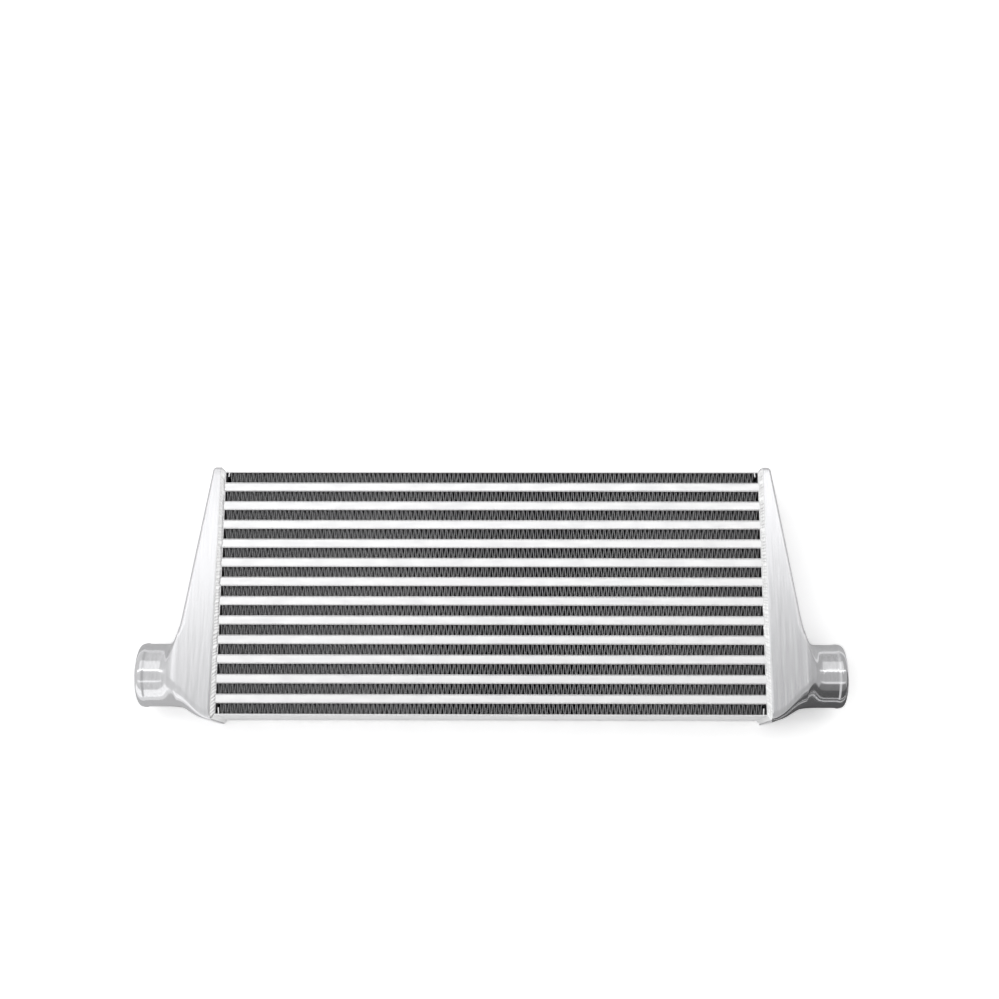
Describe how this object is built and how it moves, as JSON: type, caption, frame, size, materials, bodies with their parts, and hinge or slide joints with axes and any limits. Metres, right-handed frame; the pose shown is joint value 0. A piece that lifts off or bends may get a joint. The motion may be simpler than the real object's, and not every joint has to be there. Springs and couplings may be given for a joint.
{
  "type": "intercooler",
  "caption": "Bar-and-plate air-to-air intercooler: long finned core between two cast end tanks with outward-facing beaded hose spouts.",
  "frame": {"origin": "on the plane the tanks rest on, under the centre of the core", "axes": "+X along the core from the left tank to the right, +Y across the rows away from the spouts, +Z out of the front face"},
  "size_m": [0.784, 0.283, 0.08],
  "materials": {
    "cast_tank": "cast, belt-finished flat faces, spout turned and polished",
    "weld": "as welded, rippled",
    "bar": "extruded and faced, bright satin",
    "sheet": "rolled sheet, brazed",
    "fin": "folded thin strip, brazed"
  },
  "bodies": {
    "root": {"charge_fin_01": "fin", "charge_fin_02": "fin", "charge_fin_03": "fin", "charge_fin_04": "fin", "charge_fin_05": "fin", "charge_fin_06": "fin", "charge_fin_07": "fin", "charge_fin_08": "fin", "charge_fin_09": "fin", "charge_fin_10": "fin", "charge_fin_11": "fin", "charge_fin_12": "fin", "closing_bars_01": "bar", "closing_bars_02": "bar", "closing_bars_03": "bar", "closing_bars_04": "bar", "closing_bars_05": "bar", "closing_bars_06": "bar", "closing_bars_07": "bar", "closing_bars_08": "bar", "closing_bars_09": "bar", "closing_bars_10": "bar", "closing_bars_11": "bar", "closing_bars_12": "bar", "cooling_fin_01": "fin", "cooling_fin_02": "fin", "cooling_fin_03": "fin", "cooling_fin_04": "fin", "cooling_fin_05": "fin", "cooling_fin_06": "fin", "cooling_fin_07": "fin", "cooling_fin_08": "fin", "cooling_fin_09": "fin", "cooling_fin_10": "fin", "cooling_fin_11": "fin", "cooling_fin_12": "fin", "cooling_fin_13": "fin", "end_bars_left": "bar", "end_bars_right": "bar", "parting_sheets_01": "sheet", "parting_sheets_02": "sheet", "parting_sheets_03": "sheet", "parting_sheets_04": "sheet", "parting_sheets_05": "sheet", "parting_sheets_06": "sheet", "parting_sheets_07": "sheet", "parting_sheets_08": "sheet", "parting_sheets_09": "sheet", "parting_sheets_10": "sheet", "parting_sheets_11": "sheet", "parting_sheets_12": "sheet", "side_sheet_lower": "sheet", "side_sheet_upper": "sheet", "tank_left": "cast_tank", "tank_right": "cast_tank", "weld_bead_left": "weld", "weld_bead_right": "weld"}
  },
  "joints": []
}
